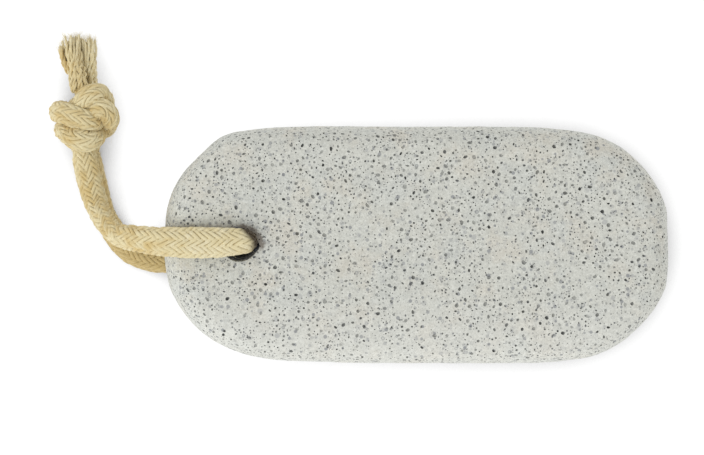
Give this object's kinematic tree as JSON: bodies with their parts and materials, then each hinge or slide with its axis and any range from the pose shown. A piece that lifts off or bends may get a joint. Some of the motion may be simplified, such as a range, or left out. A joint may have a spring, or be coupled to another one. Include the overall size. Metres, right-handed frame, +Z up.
{
  "type": "pumice stone",
  "caption": "Rounded rectangular slab of fine-pored grey pumice with a hole near one end, carrying a knotted loop of soft braided cotton cord with frayed ends.",
  "frame": {"origin": "centre of the slab's footprint, on the surface that the slab and its cord lie on", "axes": "+X along the slab's length, away from the end with the hole; +Y across the slab, towards the side where the knot lies; +Z up, out of the slab's upper face"},
  "size_m": [0.1359, 0.0733, 0.0302],
  "materials": {
    "pumice": "matt, finely pored, pale grey with a faint warm cast",
    "cotton_cord": "soft matt herringbone braid, undyed cream"
  },
  "bodies": {
    "root": {"stone": "pumice", "cord_upper": "cotton_cord", "cord_lower": "cotton_cord", "knot": "cotton_cord", "tail_left": "cotton_cord", "tail_right": "cotton_cord"}
  },
  "joints": []
}
